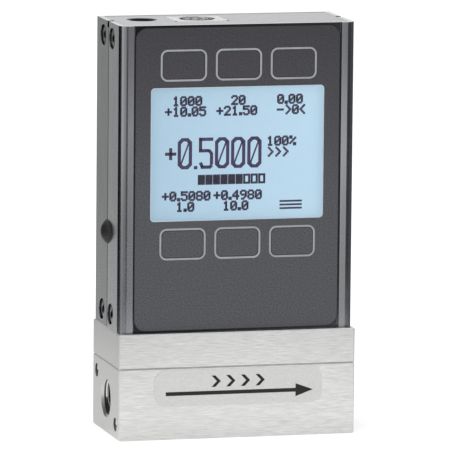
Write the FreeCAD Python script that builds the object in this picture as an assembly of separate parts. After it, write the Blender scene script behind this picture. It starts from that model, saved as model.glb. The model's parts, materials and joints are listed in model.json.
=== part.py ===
import FreeCAD, Part
import math
import os

# Gas mass flow meter, millimetres. X runs along the flow, from inlet to outlet, Y from front to back, Z up.
# The origin is the centre of the underside of the flow body.

V = FreeCAD.Vector
ALONG_X = V(1, 0, 0)
ALONG_Y = V(0, 1, 0)
ALONG_Z = V(0, 0, 1)

# Driving dimensions
WIDTH = 61.0
DEPTH = 27.9
SEAM_Z = 18.1
BLOCK_TOP_Z = 26.9
TOTAL_HEIGHT = 104.1
PORT_Z = 9.0

# How far a cutting tool reaches past a face, and how near two places count as the same
CUT_PAST = 1.0
NEAR = 0.01

# Flow base
HALF_WIDTH = WIDTH / 2
HALF_DEPTH = DEPTH / 2
EDGE_BREAK = 0.25
PORT_RADIUS = 4.35
PORT_LENGTH = 10.5
PORT_BEVEL = 0.8
BORE_RADIUS = 4.15
TAP_X = 13.9
TAP_RADIUS = 0.8
PROBE_X = -18.2
PROBE_RADIUS = 0.75
END_HOLE_CIRCLE = 22.6
END_HOLE_ANGLE = 28.0
SMALL_THREAD_RADIUS = 1.725
END_HOLE_DEPTH = 8.0
MOUNT_HOLE_X = 22.86
MOUNT_HOLE_DEPTH = 3.6
BLOCK_SCREW_X = 11.0
BLOCK_SCREW_Y = 7.2
BLOCK_SCREW_RADIUS = 1.45
BLOCK_SCREW_END = 7.0
BLOCK_HOLE_END = 6.0
BLOCK_HEAD_RADIUS = 2.4
BLOCK_HEAD_HEIGHT = 2.8
BLOCK_HEAD_RECESS = 3.2
BLOCK_HEX = 2.4
BLOCK_HEX_DEPTH = 1.5
SEAL_OUTER = 2.0
SEAL_INNER = 1.0
SEAL_THICK = 0.7

# Laminar flow element in the bore
ELEMENT_HALF = 11.5
SLEEVE_RADIUS = 4.1
SLEEVE_WALL = 0.6
ELEMENT_SEAL_WIDTH = 1.2
PLATE_COUNT = 7
PLATE_THICK = 0.35
PLATE_PITCH = 0.9
RING_THICK = 0.8
RING_INNER = 3.3
RING_OUTER = 4.45
RING_GAP_HALF = 1.2

# Housing, an extrusion in two halves
HOUSING_HALF = 30.25
HOUSING_FRONT = -12.2
HOUSING_BACK = 13.0
FRONT_CORNER = 2.0
REAR_CORNER = 0.4
SIDE_WALL = 1.5
FACE_WALL = 1.4
SHELL_SEAM_Y = 0.4
SEAM_BEVEL = 0.3
TONGUE_THICK = 0.7
TONGUE_LENGTH = 1.2
TONGUE_GAP = 0.05
NOTCH_INNER = 28.7
NOTCH_Y = (-0.2, 1.6)
NOTCH_DEPTH = 1.6
RECESS_DEPTH = 0.45
RECESS_HALF = 26.7
SHADOW_GROOVE = 0.35
INNER_HALF = HOUSING_HALF - SIDE_WALL
FLOOR_Y = HOUSING_FRONT + RECESS_DEPTH
INNER_FRONT = FLOOR_Y + FACE_WALL
INNER_BACK = HOUSING_BACK - SIDE_WALL

# Side screws and plug
SIDE_SCREW_FRONT_Y = -3.0
SIDE_SCREW_BACK_Y = 6.1
SIDE_SCREW_LOW_Z = 30.6
SIDE_SCREW_HIGH_Z = 100.1
SIDE_RECESS_RADIUS = 2.65
SIDE_RECESS_DEPTH = 1.1
SIDE_HEAD_RADIUS = 2.3
SIDE_HEAD_HEIGHT = 0.75
SIDE_SCREW_RADIUS = 1.4
SIDE_SCREW_REACH = 3.6
SIDE_SCREW_SPARE = 0.3
SIDE_HEX = 2.0
SIDE_HEX_DEPTH = 0.6
PLUG_Z = 51.1
PLUG_HOLE_RADIUS = 2.5
PLUG_GAP = 0.05
PLUG_BARB = 0.25
PLUG_BARB_LENGTH = 0.8
PLUG_DOME_HEIGHT = 1.7
PLUG_PROFILE = ((0.0, 3.15), (1.1, 2.4))

# Front film, keys and display
FILM_HALF = 26.4
FILM_LOW = 27.3
FILM_HIGH = 103.6
FILM_THICK = 0.25
FILM_CORNER = 3.0
DISPLAY_HALF = 22.35
DISPLAY_LOW = 54.9
DISPLAY_HIGH = 88.5
DISPLAY_CORNER = 1.0
WINDOW_LAP = 1.0
WINDOW_THICK = 1.0
WINDOW_GAP = 0.05
KEY_PITCH = 14.15
KEY_ROWS = (94.05, 49.15)
SWITCH_SIZE = 6.0
SWITCH_HEIGHT = 3.4
SWITCH_LID = 0.4
PLUNGER_RADIUS = 1.7
FLANGE_RADIUS = 2.2
PLUNGER_GAP = 0.05
STEM_CLEARANCE = 0.1
CHAMBER_DEPTH = 1.7
FLANGE_THICK = 0.85
WALL_HOLE_RADIUS = 1.95
LCD_FRAME_HALF = 24.5
LCD_FRAME_MARGIN = 2.4
LCD_FRAME_WALL = 0.6
LCD_LIP = 0.4
LCD_VIEW_MARGIN = 0.6
LCD_GAP = 0.05
LCD_GLASS_THICK = 1.5
DISPLAY_BOARD_Y = -5.2
BOARD_THICK = 1.6
DISPLAY_BOARD_THICK = 1.2
POST_HOLE_DEPTH = 2.0
DISPLAY_POST_X = 26.6
DISPLAY_POST_ROWS = (56.0, 87.0)
DISPLAY_POST_RADIUS = 1.75
DISPLAY_BOARD_HALF = 28.2
DISPLAY_BOARD_LOW = 45.3
DISPLAY_BOARD_HIGH = 97.3

# Top plate and its two connectors
CAP_BOTTOM = 97.6
CAP_GAP = 0.1
CAP_BACK_GAP = 0.7
JACK_X = -21.3
JACK_Y = 2.2
JACK_HOLE_RADIUS = 3.8
JACK_NOSE_RADIUS = 3.7
JACK_BORE_RADIUS = 3.15
JACK_WIDTH = 9.0
JACK_BOTTOM = 89.0
JACK_SHOULDER = 97.5
JACK_TOP = 104.0
JACK_BORE_BOTTOM = 94.0
JACK_PIN_RADIUS = 1.0
JACK_PIN_SUNK = 1.4
JACK_SPRING_HALF = 1.1
JACK_SPRING_THICK = 0.4
JACK_SPRING_FREE = 0.45
JACK_SPRING_Y = JACK_Y + JACK_BORE_RADIUS - 0.45
DIN_X = -7.1
DIN_Y = 2.0
DIN_WIDTH = 13.9
DIN_DEPTH = 11.4
DIN_GAP = 0.1
DIN_NOTCH_X = 0.6
DIN_NOTCH_Y = 1.3
DIN_NOTCH_DEPTH = 1.5
DIN_KEY_HALF = 0.9
DIN_KEY_Y = (-0.9, -0.2)
DIN_KEY_DEPTH = 3.0
DIN_BOTTOM = 91.0
DIN_SOCKET_Y = 2.5
DIN_SOCKET_RADIUS = 4.7
DIN_INSERT_RADIUS = 3.7
DIN_INSERT_TOP = 104.0
DIN_SOCKET_DEPTH = 8.0
DIN_CONTACT_RADIUS = 0.42
DIN_HOLE_RADIUS = 0.5
DIN_HOLE_DEPTH = 5.0
DIN_CONTACT_SUNK = 0.5
DIN_ROWS = ((2.0, (-1.9, 0.0, 1.9)), (0.2, (-2.4, 0.0, 2.4)), (-1.7, (-1.0, 1.0)))

# Electronics
MAIN_BOARD_Y = 7.7
MAIN_BOARD_HALF = 27.5
MAIN_BOARD_LOW = 37.5
MAIN_BOARD_HIGH = 97.3
MAIN_POST_X = 25.0
MAIN_POST_ROWS = (47.5, 84.0)
MAIN_POST_RADIUS = 2.2
SENSOR_POSTS = ((-23.5, 5.0), (23.5, -5.0))
SENSOR_POST_RADIUS = 1.8
TONGUE_TOP = 35.3
SENSOR_SEAL_THICK = 0.6
SENSOR_HEIGHT = 7.0
SENSOR_PORT_DEPTH = 3.0
DIFFERENTIAL_X = (-8.0, 8.0)
DIFFERENTIAL_HALF = 6.0
ABSOLUTE_X = (-16.6, -9.6)
ABSOLUTE_HALF = 4.0
SENSOR_BOARD_HALF = 26.0
SENSOR_BOARD_Y = (-9.0, 7.0)
PROBE_TIP = 1.5
PROBE_HEAD_RADIUS = 1.15
PROBE_HEAD_HEIGHT = 1.5
SENSOR_PORT_X = 4.0
SMALL_SCREW_RADIUS = 1.0
SMALL_HEAD_RADIUS = 1.9
SMALL_HEAD_HEIGHT = 1.0
CONNECTOR_X = (5.0, 25.0)
CONNECTOR_Z = (68.0, 73.0)
CONTROLLER_X = (-14.0, -2.0)
CONTROLLER_Z = (62.0, 74.0)
CONTROLLER_THICK = 1.4
CAPACITOR_PLACES = ((5.0, 92.0), (24.0, 92.0))
CAPACITOR_RADIUS = 3.15
CAPACITOR_HEIGHT = 5.8

# Low corner, width, height and thickness of each small chip on the main board
CONVERTER = (-19.0, 51.0, 5.0, 6.5, 1.5)
MEMORY = (-4.0, 50.0, 5.0, 4.0, 1.5)
LINE_DRIVER = (10.0, 51.0, 10.0, 7.5, 2.3)
REGULATOR = (14.0, 82.0, 6.5, 9.0, 2.3)

# Label on the flow base
LABEL_LEFT = -21.45
LABEL_RIGHT = 22.1
LABEL_LOW = 8.4
LABEL_HIGH = 17.6
LABEL_THICK = 0.12
LABEL_CORNER = 3.0

# Rounds that hardly show have few sides
SMALL_SIDES = 6
HIDDEN_SIDES = 8
HEAD_SIDES = 12
BORE_SIDES = 16
RECESS_SIDES = 20

SIDES = (-1, 1)

# Places that follow from the values above
LCD_FRONT = INNER_FRONT + LCD_GAP
LCD_LAYER_MARGIN = LCD_FRAME_HALF - DISPLAY_HALF - LCD_FRAME_WALL
SENSOR_BOARD_Z = TONGUE_TOP + SENSOR_SEAL_THICK + SENSOR_HEIGHT
DISPLAY_POSTS = [(side * DISPLAY_POST_X, z) for side in SIDES for z in DISPLAY_POST_ROWS]
MAIN_POSTS = [(side * MAIN_POST_X, z) for side in SIDES for z in MAIN_POST_ROWS]


def box(x, y, z):
    """Box between a pair of places on each axis."""
    return Part.makeBox(x[1] - x[0], y[1] - y[0], z[1] - z[0], V(x[0], y[0], z[0]))


def rod(radius, start, end):
    """Round bar from one point to another."""
    line = V(*end) - V(*start)
    return Part.makeCylinder(radius, line.Length, V(*start), line)


def bar(radius, start, end, sides=HIDDEN_SIDES):
    """Many-sided bar from one point to another."""
    base = V(*start)
    line = V(*end) - base
    way = V(line).normalize()
    across = way.cross(ALONG_X if abs(way.y) > 0.9 else ALONG_Y).normalize()
    up = way.cross(across)
    corners = []
    for step in range(sides):
        angle = 2 * math.pi * step / sides
        corners.append(base + across * (radius * math.cos(angle)) + up * (radius * math.sin(angle)))
    face = Part.Face(Part.makePolygon(corners + corners[:1]))
    return face.extrude(line)


def seal_ring(x, low, high):
    """Rubber ring round a vertical passage."""
    ring = bar(SEAL_OUTER, (x, 0, low), (x, 0, high))
    return ring.cut(bar(SEAL_INNER, (x, 0, low), (x, 0, high), SMALL_SIDES))


def edges_along(shape, axis, where=None):
    """Straight edges along an axis, all of them or those whose middle passes a test."""
    found = []
    for edge in shape.Edges:
        if edge.Curve.TypeId != "Part::GeomLine":
            continue
        if abs(edge.Curve.Direction.dot(axis)) < 0.999:
            continue
        if where is None or where(edge.CenterOfMass):
            found.append(edge)
    return found


def rounded_sheet(x, y, z, radius):
    """Flat sheet facing the front, with round corners."""
    sheet = box(x, y, z)
    return sheet.makeFillet(radius, edges_along(sheet, ALONG_Y))


def extrude_outline(points, low, high):
    """Upright extrusion of an outline given as x, y pairs."""
    corners = [V(x, y, low) for x, y in points]
    face = Part.Face(Part.makePolygon(corners + corners[:1]))
    return face.extrude(V(0, 0, high - low))


def end_hole_places(side):
    """The y and z places of the two fixing holes beside a port, the same from outside at either end."""
    reach = END_HOLE_CIRCLE / 2
    along_y = -side * reach * math.cos(math.radians(END_HOLE_ANGLE))
    along_z = reach * math.sin(math.radians(END_HOLE_ANGLE))
    return ((along_y, PORT_Z + along_z), (-along_y, PORT_Z - along_z))


def block_screw_places():
    return [(i * BLOCK_SCREW_X, j * BLOCK_SCREW_Y) for i in SIDES for j in SIDES]


def side_screw_places():
    """Side, y and z of each side screw."""
    places = []
    for side in SIDES:
        for y in (SIDE_SCREW_FRONT_Y, SIDE_SCREW_BACK_Y):
            for z in (SIDE_SCREW_LOW_Z, SIDE_SCREW_HIGH_Z):
                places.append((side, y, z))
    return places


def key_places():
    """Centres of the six keys, left to right in the upper row and then in the lower row."""
    return [(column * KEY_PITCH, z) for z in KEY_ROWS for column in (-1, 0, 1)]


def flow_body():
    body = box((-HALF_WIDTH, HALF_WIDTH), (-HALF_DEPTH, HALF_DEPTH), (0, SEAM_Z))
    body = body.makeChamfer(EDGE_BREAK, body.Edges)
    bore_end = HALF_WIDTH - CUT_PAST
    tools = [bar(BORE_RADIUS, (-bore_end, 0, PORT_Z), (bore_end, 0, PORT_Z), BORE_SIDES)]
    for side in SIDES:
        face = side * HALF_WIDTH
        tools.append(rod(PORT_RADIUS, (face, 0, PORT_Z), (face - side * PORT_LENGTH, 0, PORT_Z)))
        wide = PORT_RADIUS + PORT_BEVEL
        tools.append(Part.makeCone(wide, PORT_RADIUS, PORT_BEVEL, V(face, 0, PORT_Z), V(-side, 0, 0)))
        groove_start = (side * ELEMENT_HALF, 0, PORT_Z)
        groove_end = (side * (ELEMENT_HALF + RING_THICK), 0, PORT_Z)
        tools.append(bar(RING_OUTER, groove_start, groove_end, BORE_SIDES))
        tools.append(bar(TAP_RADIUS, (side * TAP_X, 0, PORT_Z), (side * TAP_X, 0, SEAM_Z)))
        for y, z in end_hole_places(side):
            tools.append(rod(SMALL_THREAD_RADIUS, (face, y, z), (face - side * END_HOLE_DEPTH, y, z)))
        mount_x = side * MOUNT_HOLE_X
        tools.append(rod(SMALL_THREAD_RADIUS, (mount_x, 0, 0), (mount_x, 0, MOUNT_HOLE_DEPTH)))
    tools.append(bar(TAP_RADIUS, (PROBE_X, 0, PORT_Z), (PROBE_X, 0, SEAM_Z)))
    for x, y in block_screw_places():
        tools.append(bar(BLOCK_SCREW_RADIUS, (x, y, BLOCK_HOLE_END), (x, y, SEAM_Z)))
    return body.cut(tools)


def flow_element_sleeve():
    half = ELEMENT_HALF - ELEMENT_SEAL_WIDTH
    outer = bar(SLEEVE_RADIUS, (-half, 0, PORT_Z), (half, 0, PORT_Z), BORE_SIDES)
    return outer.cut(bar(SLEEVE_RADIUS - SLEEVE_WALL, (-half, 0, PORT_Z), (half, 0, PORT_Z), BORE_SIDES))


def element_seals():
    """Rings between the ends of the sleeve and the snap rings."""
    seals = []
    for side in SIDES:
        start = (side * ELEMENT_HALF, 0, PORT_Z)
        end = (side * (ELEMENT_HALF - ELEMENT_SEAL_WIDTH), 0, PORT_Z)
        outer = bar(BORE_RADIUS, start, end, BORE_SIDES)
        seals.append(outer.cut(bar(SLEEVE_RADIUS - SLEEVE_WALL, start, end, HEAD_SIDES)))
    return Part.makeCompound(seals)


def flow_element_plates():
    """Flat plates that split the bore into thin parallel channels."""
    inner = (SLEEVE_RADIUS - SLEEVE_WALL) * math.cos(math.pi / BORE_SIDES)
    plates = []
    for step in range(PLATE_COUNT):
        offset = (step - (PLATE_COUNT - 1) / 2) * PLATE_PITCH
        far_edge = abs(offset) + PLATE_THICK / 2
        half = math.sqrt(inner ** 2 - far_edge ** 2)
        z = PORT_Z + offset
        reach = ELEMENT_HALF - ELEMENT_SEAL_WIDTH
        plates.append(box((-reach, reach), (-half, half), (z - PLATE_THICK / 2, z + PLATE_THICK / 2)))
    return Part.makeCompound(plates)


def element_retaining_rings():
    """Snap rings in the grooves at the two ends of the element."""
    rings = []
    for side in SIDES:
        inner_face = side * ELEMENT_HALF
        outer_face = inner_face + side * RING_THICK
        start = (inner_face, 0, PORT_Z)
        end = (outer_face, 0, PORT_Z)
        ring = bar(RING_OUTER, start, end, BORE_SIDES).cut(bar(RING_INNER, start, end, HEAD_SIDES))
        low = min(inner_face, outer_face)
        below = PORT_Z - RING_OUTER - CUT_PAST
        gap = box((low, low + RING_THICK), (-RING_GAP_HALF, RING_GAP_HALF), (below, PORT_Z))
        rings.append(ring.cut(gap))
    return Part.makeCompound(rings)


def crossing_places():
    """Places along X where gas or the probe crosses the joint between the two blocks."""
    return (-TAP_X, TAP_X, PROBE_X)


def tap_seals():
    return Part.makeCompound([seal_ring(x, SEAM_Z, SEAM_Z + SEAL_THICK) for x in crossing_places()])


def manifold_block():
    base = box((-HALF_WIDTH, HALF_WIDTH), (-HALF_DEPTH, HALF_DEPTH), (SEAM_Z, BLOCK_TOP_Z))
    base = base.makeChamfer(EDGE_BREAK, base.Edges)
    tongue_x = INNER_HALF - CAP_GAP
    tongue_y = (INNER_FRONT + CAP_GAP, INNER_BACK - CAP_GAP)
    tongue = box((-tongue_x, tongue_x), tongue_y, (BLOCK_TOP_Z - CUT_PAST, TONGUE_TOP))
    block = base.fuse(tongue)
    tools = []
    for x in crossing_places():
        tools.append(bar(SEAL_OUTER, (x, 0, SEAM_Z), (x, 0, SEAM_Z + SEAL_THICK)))
    for x in (-TAP_X, PROBE_X):
        tools.append(bar(TAP_RADIUS, (x, 0, SEAM_Z), (x, 0, TONGUE_TOP)))
    for side in SIDES:
        low = V(side * TAP_X, 0, SEAM_Z)
        high = V(side * SENSOR_PORT_X, 0, TONGUE_TOP)
        over = (high - low).normalize()
        tools.append(bar(TAP_RADIUS, low, high + over))
    for x, y in block_screw_places():
        tools.append(bar(BLOCK_SCREW_RADIUS, (x, y, SEAM_Z), (x, y, TONGUE_TOP)))
        tools.append(bar(BLOCK_HEAD_RADIUS, (x, y, TONGUE_TOP - BLOCK_HEAD_RECESS), (x, y, TONGUE_TOP)))
    tools.extend(side_screw_holes(SIDE_SCREW_LOW_Z, tongue_x))
    return block.cut(tools)


def side_screw_holes(z, reach):
    """Tapped holes for the side screws in the ends of what the shells are fastened to."""
    holes = []
    for side in SIDES:
        for y in (SIDE_SCREW_FRONT_Y, SIDE_SCREW_BACK_Y):
            inner_end = (side * (reach - SIDE_SCREW_REACH), y, z)
            holes.append(bar(SIDE_SCREW_RADIUS, (side * reach, y, z), inner_end))
    return holes


def socket_screw(head, shank, socket, place, direction, sides):
    """Socket-head screw, its head's outer face at a place and its shank along a direction.

    Head and shank are given as radius and length, and the socket as width across flats and depth.
    """
    way = V(*direction)
    outer = V(*place)
    seat = outer + way * head[1]
    body = bar(head[0], outer, seat, sides).fuse(bar(shank[0], seat, seat + way * shank[1]))
    return body.cut(bar(socket[0] / math.sqrt(3), outer, outer + way * socket[1], SMALL_SIDES))


def block_screws():
    screws = []
    seat = TONGUE_TOP - BLOCK_HEAD_RECESS
    head = (BLOCK_HEAD_RADIUS, BLOCK_HEAD_HEIGHT)
    shank = (BLOCK_SCREW_RADIUS, seat - BLOCK_SCREW_END)
    socket = (BLOCK_HEX, BLOCK_HEX_DEPTH)
    for x, y in block_screw_places():
        outer = (x, y, seat + BLOCK_HEAD_HEIGHT)
        screws.append(socket_screw(head, shank, socket, outer, -ALONG_Z, HIDDEN_SIDES))
    return Part.makeCompound(screws)


def shell_screws():
    screws = []
    seat = HOUSING_HALF - SIDE_RECESS_DEPTH
    head = (SIDE_HEAD_RADIUS, SIDE_HEAD_HEIGHT)
    shank = (SIDE_SCREW_RADIUS, seat - (INNER_HALF - SIDE_SCREW_REACH + SIDE_SCREW_SPARE))
    socket = (SIDE_HEX, SIDE_HEX_DEPTH)
    for side, y, z in side_screw_places():
        outer = (side * (seat + SIDE_HEAD_HEIGHT), y, z)
        screws.append(socket_screw(head, shank, socket, outer, ALONG_X * -side, HEAD_SIDES))
    return Part.makeCompound(screws)


def shell_side_cuts(y):
    """Stepped screw holes of one half shell."""
    cuts = []
    for side in SIDES:
        face = side * HOUSING_HALF
        for z in (SIDE_SCREW_LOW_Z, SIDE_SCREW_HIGH_Z):
            seat = (face - side * SIDE_RECESS_DEPTH, y, z)
            inside = (side * (INNER_HALF - CUT_PAST), y, z)
            cuts.append(bar(SIDE_RECESS_RADIUS, (face + side * CUT_PAST, y, z), seat, RECESS_SIDES))
            cuts.append(bar(SIDE_SCREW_RADIUS + STEM_CLEARANCE, (face, y, z), inside))
    return cuts


def plug_hole():
    outside = (-HOUSING_HALF - CUT_PAST, SHELL_SEAM_Y, PLUG_Z)
    inside = (-INNER_HALF + CUT_PAST, SHELL_SEAM_Y, PLUG_Z)
    return bar(PLUG_HOLE_RADIUS, outside, inside)


def seam_notches():
    """Small gaps at the top of the seam on both sides."""
    notches = []
    for side in SIDES:
        x = sorted((side * NOTCH_INNER, side * (HOUSING_HALF + CUT_PAST)))
        notches.append(box(x, NOTCH_Y, (TOTAL_HEIGHT - NOTCH_DEPTH, TOTAL_HEIGHT + CUT_PAST)))
    return notches


def round_outer_corners(shell, y, radius):
    """Rounds the two upright outer corners of a half shell that lie on one of its faces."""
    def outer(place):
        return abs(abs(place.x) - HOUSING_HALF) < NEAR and abs(place.y - y) < NEAR
    return shell.makeFillet(radius, edges_along(shell, ALONG_Z, outer))


def window_opening(gap):
    """Box of the lens, larger than the film's cut-out by the lap, and eased by a gap."""
    half = DISPLAY_HALF + WINDOW_LAP + gap
    low = DISPLAY_LOW - WINDOW_LAP - gap
    high = DISPLAY_HIGH + WINDOW_LAP + gap
    return (-half, half), (low, high)


def front_shell():
    """Front half of the extrusion: rounded rails, a recess for the film, tongues at the seams."""
    step = HOUSING_HALF - SIDE_WALL + TONGUE_THICK
    half = [
        (RECESS_HALF, FLOOR_Y),
        (RECESS_HALF, HOUSING_FRONT),
        (HOUSING_HALF, HOUSING_FRONT),
        (HOUSING_HALF, SHELL_SEAM_Y - SEAM_BEVEL),
        (HOUSING_HALF - SEAM_BEVEL, SHELL_SEAM_Y),
        (step, SHELL_SEAM_Y),
        (step, SHELL_SEAM_Y + TONGUE_LENGTH),
        (INNER_HALF, SHELL_SEAM_Y + TONGUE_LENGTH),
        (INNER_HALF, INNER_FRONT),
    ]
    outline = half + [(-x, y) for x, y in reversed(half)]
    shell = extrude_outline(outline, BLOCK_TOP_Z, TOTAL_HEIGHT)
    shell = round_outer_corners(shell, HOUSING_FRONT, FRONT_CORNER)
    tools = seam_notches()
    before = FLOOR_Y - CUT_PAST
    behind = INNER_FRONT + CUT_PAST
    for side in SIDES:
        groove = sorted((side * RECESS_HALF, side * (RECESS_HALF - SHADOW_GROOVE)))
        tools.append(box(groove, (before, FLOOR_Y + SHADOW_GROOVE), (BLOCK_TOP_Z, TOTAL_HEIGHT)))
    opening_x, opening_z = window_opening(WINDOW_GAP)
    tools.append(box(opening_x, (before, behind), opening_z))
    for x, z in key_places():
        tools.append(bar(WALL_HOLE_RADIUS, (x, before, z), (x, behind, z)))
    tools.extend(shell_side_cuts(SIDE_SCREW_FRONT_Y))
    tools.append(plug_hole())
    return shell.cut(tools)


def rear_shell():
    """Rear half of the extrusion, a channel with a rebate for the front half's tongue at each seam."""
    step = HOUSING_HALF - SIDE_WALL + TONGUE_THICK + TONGUE_GAP
    end = SHELL_SEAM_Y + TONGUE_LENGTH + TONGUE_GAP
    half = [
        (HOUSING_HALF, HOUSING_BACK),
        (HOUSING_HALF, SHELL_SEAM_Y + SEAM_BEVEL),
        (HOUSING_HALF - SEAM_BEVEL, SHELL_SEAM_Y),
        (step, SHELL_SEAM_Y),
        (step, end),
        (INNER_HALF, end),
        (INNER_HALF, INNER_BACK),
    ]
    outline = half + [(-x, y) for x, y in reversed(half)]
    shell = extrude_outline(outline, BLOCK_TOP_Z, TOTAL_HEIGHT)
    shell = round_outer_corners(shell, HOUSING_BACK, REAR_CORNER)
    return shell.cut(seam_notches() + shell_side_cuts(SIDE_SCREW_BACK_Y) + [plug_hole()])


def side_plug():
    """Domed plug that snaps into the hole on the seam."""
    face = -HOUSING_HALF
    profile = [V(face - height, SHELL_SEAM_Y + radius, PLUG_Z) for height, radius in PLUG_PROFILE]
    profile = [V(face, SHELL_SEAM_Y, PLUG_Z)] + profile + [V(face - PLUG_DOME_HEIGHT, SHELL_SEAM_Y, PLUG_Z)]
    half = Part.Face(Part.makePolygon(profile + profile[:1]))
    dome = half.revolve(V(face, SHELL_SEAM_Y, PLUG_Z), ALONG_X, 360)
    inside = V(-INNER_HALF, SHELL_SEAM_Y, PLUG_Z)
    stem = bar(PLUG_HOLE_RADIUS - PLUG_GAP, (face, SHELL_SEAM_Y, PLUG_Z), inside)
    barb = bar(PLUG_HOLE_RADIUS + PLUG_BARB, inside, inside + ALONG_X * PLUG_BARB_LENGTH)
    return dome.fuse([stem, barb]).removeSplitter()


def top_cap():
    x = INNER_HALF - CAP_GAP
    cap = box((-x, x), (INNER_FRONT + CAP_GAP, INNER_BACK - CAP_BACK_GAP), (CAP_BOTTOM, TOTAL_HEIGHT))
    tools = side_screw_holes(SIDE_SCREW_HIGH_Z, x)
    low = CAP_BOTTOM - CUT_PAST
    high = TOTAL_HEIGHT + CUT_PAST
    tools.append(rod(JACK_HOLE_RADIUS, (JACK_X, JACK_Y, low), (JACK_X, JACK_Y, high)))
    tools.append(box(*din_outline(DIN_GAP), (low, high)))
    return cap.cut(tools)


def din_outline(gap):
    """Ranges of the socket's square body along x and y, eased by a gap."""
    half_x = DIN_WIDTH / 2 + gap
    half_y = DIN_DEPTH / 2 + gap
    return (DIN_X - half_x, DIN_X + half_x), (DIN_Y - half_y, DIN_Y + half_y)


def din_shell():
    """Metal shield of the round socket, with a small notch in each front corner of its face."""
    x, y = din_outline(0)
    shield = box(x, y, (DIN_BOTTOM, TOTAL_HEIGHT))
    socket_bottom = TOTAL_HEIGHT - DIN_SOCKET_DEPTH
    low = V(DIN_X, DIN_SOCKET_Y, DIN_BOTTOM)
    middle = V(DIN_X, DIN_SOCKET_Y, socket_bottom)
    tools = [rod(DIN_SOCKET_RADIUS, middle, middle + ALONG_Z * DIN_SOCKET_DEPTH)]
    tools.append(bar(DIN_INSERT_RADIUS, low, middle, RECESS_SIDES))
    notch_y = (y[0], y[0] + DIN_NOTCH_Y)
    notch_z = (TOTAL_HEIGHT - DIN_NOTCH_DEPTH, TOTAL_HEIGHT)
    for notch_x in ((x[0], x[0] + DIN_NOTCH_X), (x[1] - DIN_NOTCH_X, x[1])):
        tools.append(box(notch_x, notch_y, notch_z))
    return shield.cut(tools)


def din_contact_places():
    return [(DIN_X + x, DIN_SOCKET_Y + y) for y, row in DIN_ROWS for x in row]


def din_insulator():
    low = (DIN_X, DIN_SOCKET_Y, DIN_BOTTOM)
    insert = bar(DIN_INSERT_RADIUS, low, (DIN_X, DIN_SOCKET_Y, DIN_INSERT_TOP), RECESS_SIDES)
    key_x = (DIN_X - DIN_KEY_HALF, DIN_X + DIN_KEY_HALF)
    key_y = (DIN_SOCKET_Y + DIN_KEY_Y[0], DIN_SOCKET_Y + DIN_KEY_Y[1])
    tools = [box(key_x, key_y, (DIN_INSERT_TOP - DIN_KEY_DEPTH, DIN_INSERT_TOP))]
    bottom = DIN_INSERT_TOP - DIN_HOLE_DEPTH
    for x, y in din_contact_places():
        tools.append(bar(DIN_HOLE_RADIUS, (x, y, bottom), (x, y, DIN_INSERT_TOP), SMALL_SIDES))
    return insert.cut(tools)


def din_contacts():
    contacts = []
    bottom = DIN_INSERT_TOP - DIN_HOLE_DEPTH
    top = DIN_INSERT_TOP - DIN_CONTACT_SUNK
    for x, y in din_contact_places():
        contacts.append(bar(DIN_CONTACT_RADIUS, (x, y, bottom), (x, y, top), SMALL_SIDES))
    return Part.makeCompound(contacts)


def power_jack_body():
    half = JACK_WIDTH / 2
    base_y = (JACK_Y - half, MAIN_BOARD_Y)
    base = box((JACK_X - half, JACK_X + half), base_y, (JACK_BOTTOM, JACK_SHOULDER))
    top = (JACK_X, JACK_Y, JACK_TOP)
    nose = bar(JACK_NOSE_RADIUS, (JACK_X, JACK_Y, JACK_SHOULDER), top, RECESS_SIDES)
    bore = bar(JACK_BORE_RADIUS, (JACK_X, JACK_Y, JACK_BORE_BOTTOM), top, RECESS_SIDES)
    return base.fuse(nose).cut([bore, jack_spring_slot()])


def jack_spring_slot():
    """Room for the spring beside the bore, and behind it for the spring to bend into."""
    half = JACK_SPRING_HALF + 0.1
    y = (JACK_SPRING_Y - 0.05, JACK_SPRING_Y + JACK_SPRING_THICK + JACK_SPRING_FREE)
    return box((JACK_X - half, JACK_X + half), y, (JACK_BOTTOM + 1, JACK_SHOULDER))


def power_jack_pin():
    top = JACK_TOP - JACK_PIN_SUNK
    return bar(JACK_PIN_RADIUS, (JACK_X, JACK_Y, JACK_BORE_BOTTOM), (JACK_X, JACK_Y, top), HEAD_SIDES)


def power_jack_spring():
    x = (JACK_X - JACK_SPRING_HALF, JACK_X + JACK_SPRING_HALF)
    return box(x, (JACK_SPRING_Y, JACK_SPRING_Y + JACK_SPRING_THICK), (JACK_BOTTOM + 1, JACK_SHOULDER - 0.2))


def keypad_overlay():
    """Printed film over the whole front, cut out over the display."""
    back = FLOOR_Y
    front = back - FILM_THICK
    film = rounded_sheet((-FILM_HALF, FILM_HALF), (front, back), (FILM_LOW, FILM_HIGH), FILM_CORNER)
    hole_x = (-DISPLAY_HALF, DISPLAY_HALF)
    hole_y = (front - CUT_PAST, back + CUT_PAST)
    return film.cut(rounded_sheet(hole_x, hole_y, (DISPLAY_LOW, DISPLAY_HIGH), DISPLAY_CORNER))


def display_window():
    opening_x, opening_z = window_opening(0)
    return box(opening_x, (FLOOR_Y, FLOOR_Y + WINDOW_THICK), opening_z)


def lcd_ranges(margin):
    """Ranges along x and z of a layer of the display that is larger than its visible field by a margin."""
    half = DISPLAY_HALF + margin
    return (-half, half), (DISPLAY_LOW - margin, DISPLAY_HIGH + margin)


def lcd_frame():
    """Pressed metal frame that holds the display's glass and light guide on the board."""
    outer_x, outer_z = lcd_ranges(LCD_FRAME_HALF - DISPLAY_HALF)
    inner_x, inner_z = lcd_ranges(LCD_LAYER_MARGIN)
    view_x, view_z = lcd_ranges(LCD_VIEW_MARGIN)
    frame = box(outer_x, (LCD_FRONT, DISPLAY_BOARD_Y), outer_z)
    pocket = box(inner_x, (LCD_FRONT + LCD_LIP, DISPLAY_BOARD_Y), inner_z)
    view = box(view_x, (LCD_FRONT - CUT_PAST, LCD_FRONT + LCD_LIP), view_z)
    return frame.cut([pocket, view])


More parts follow.
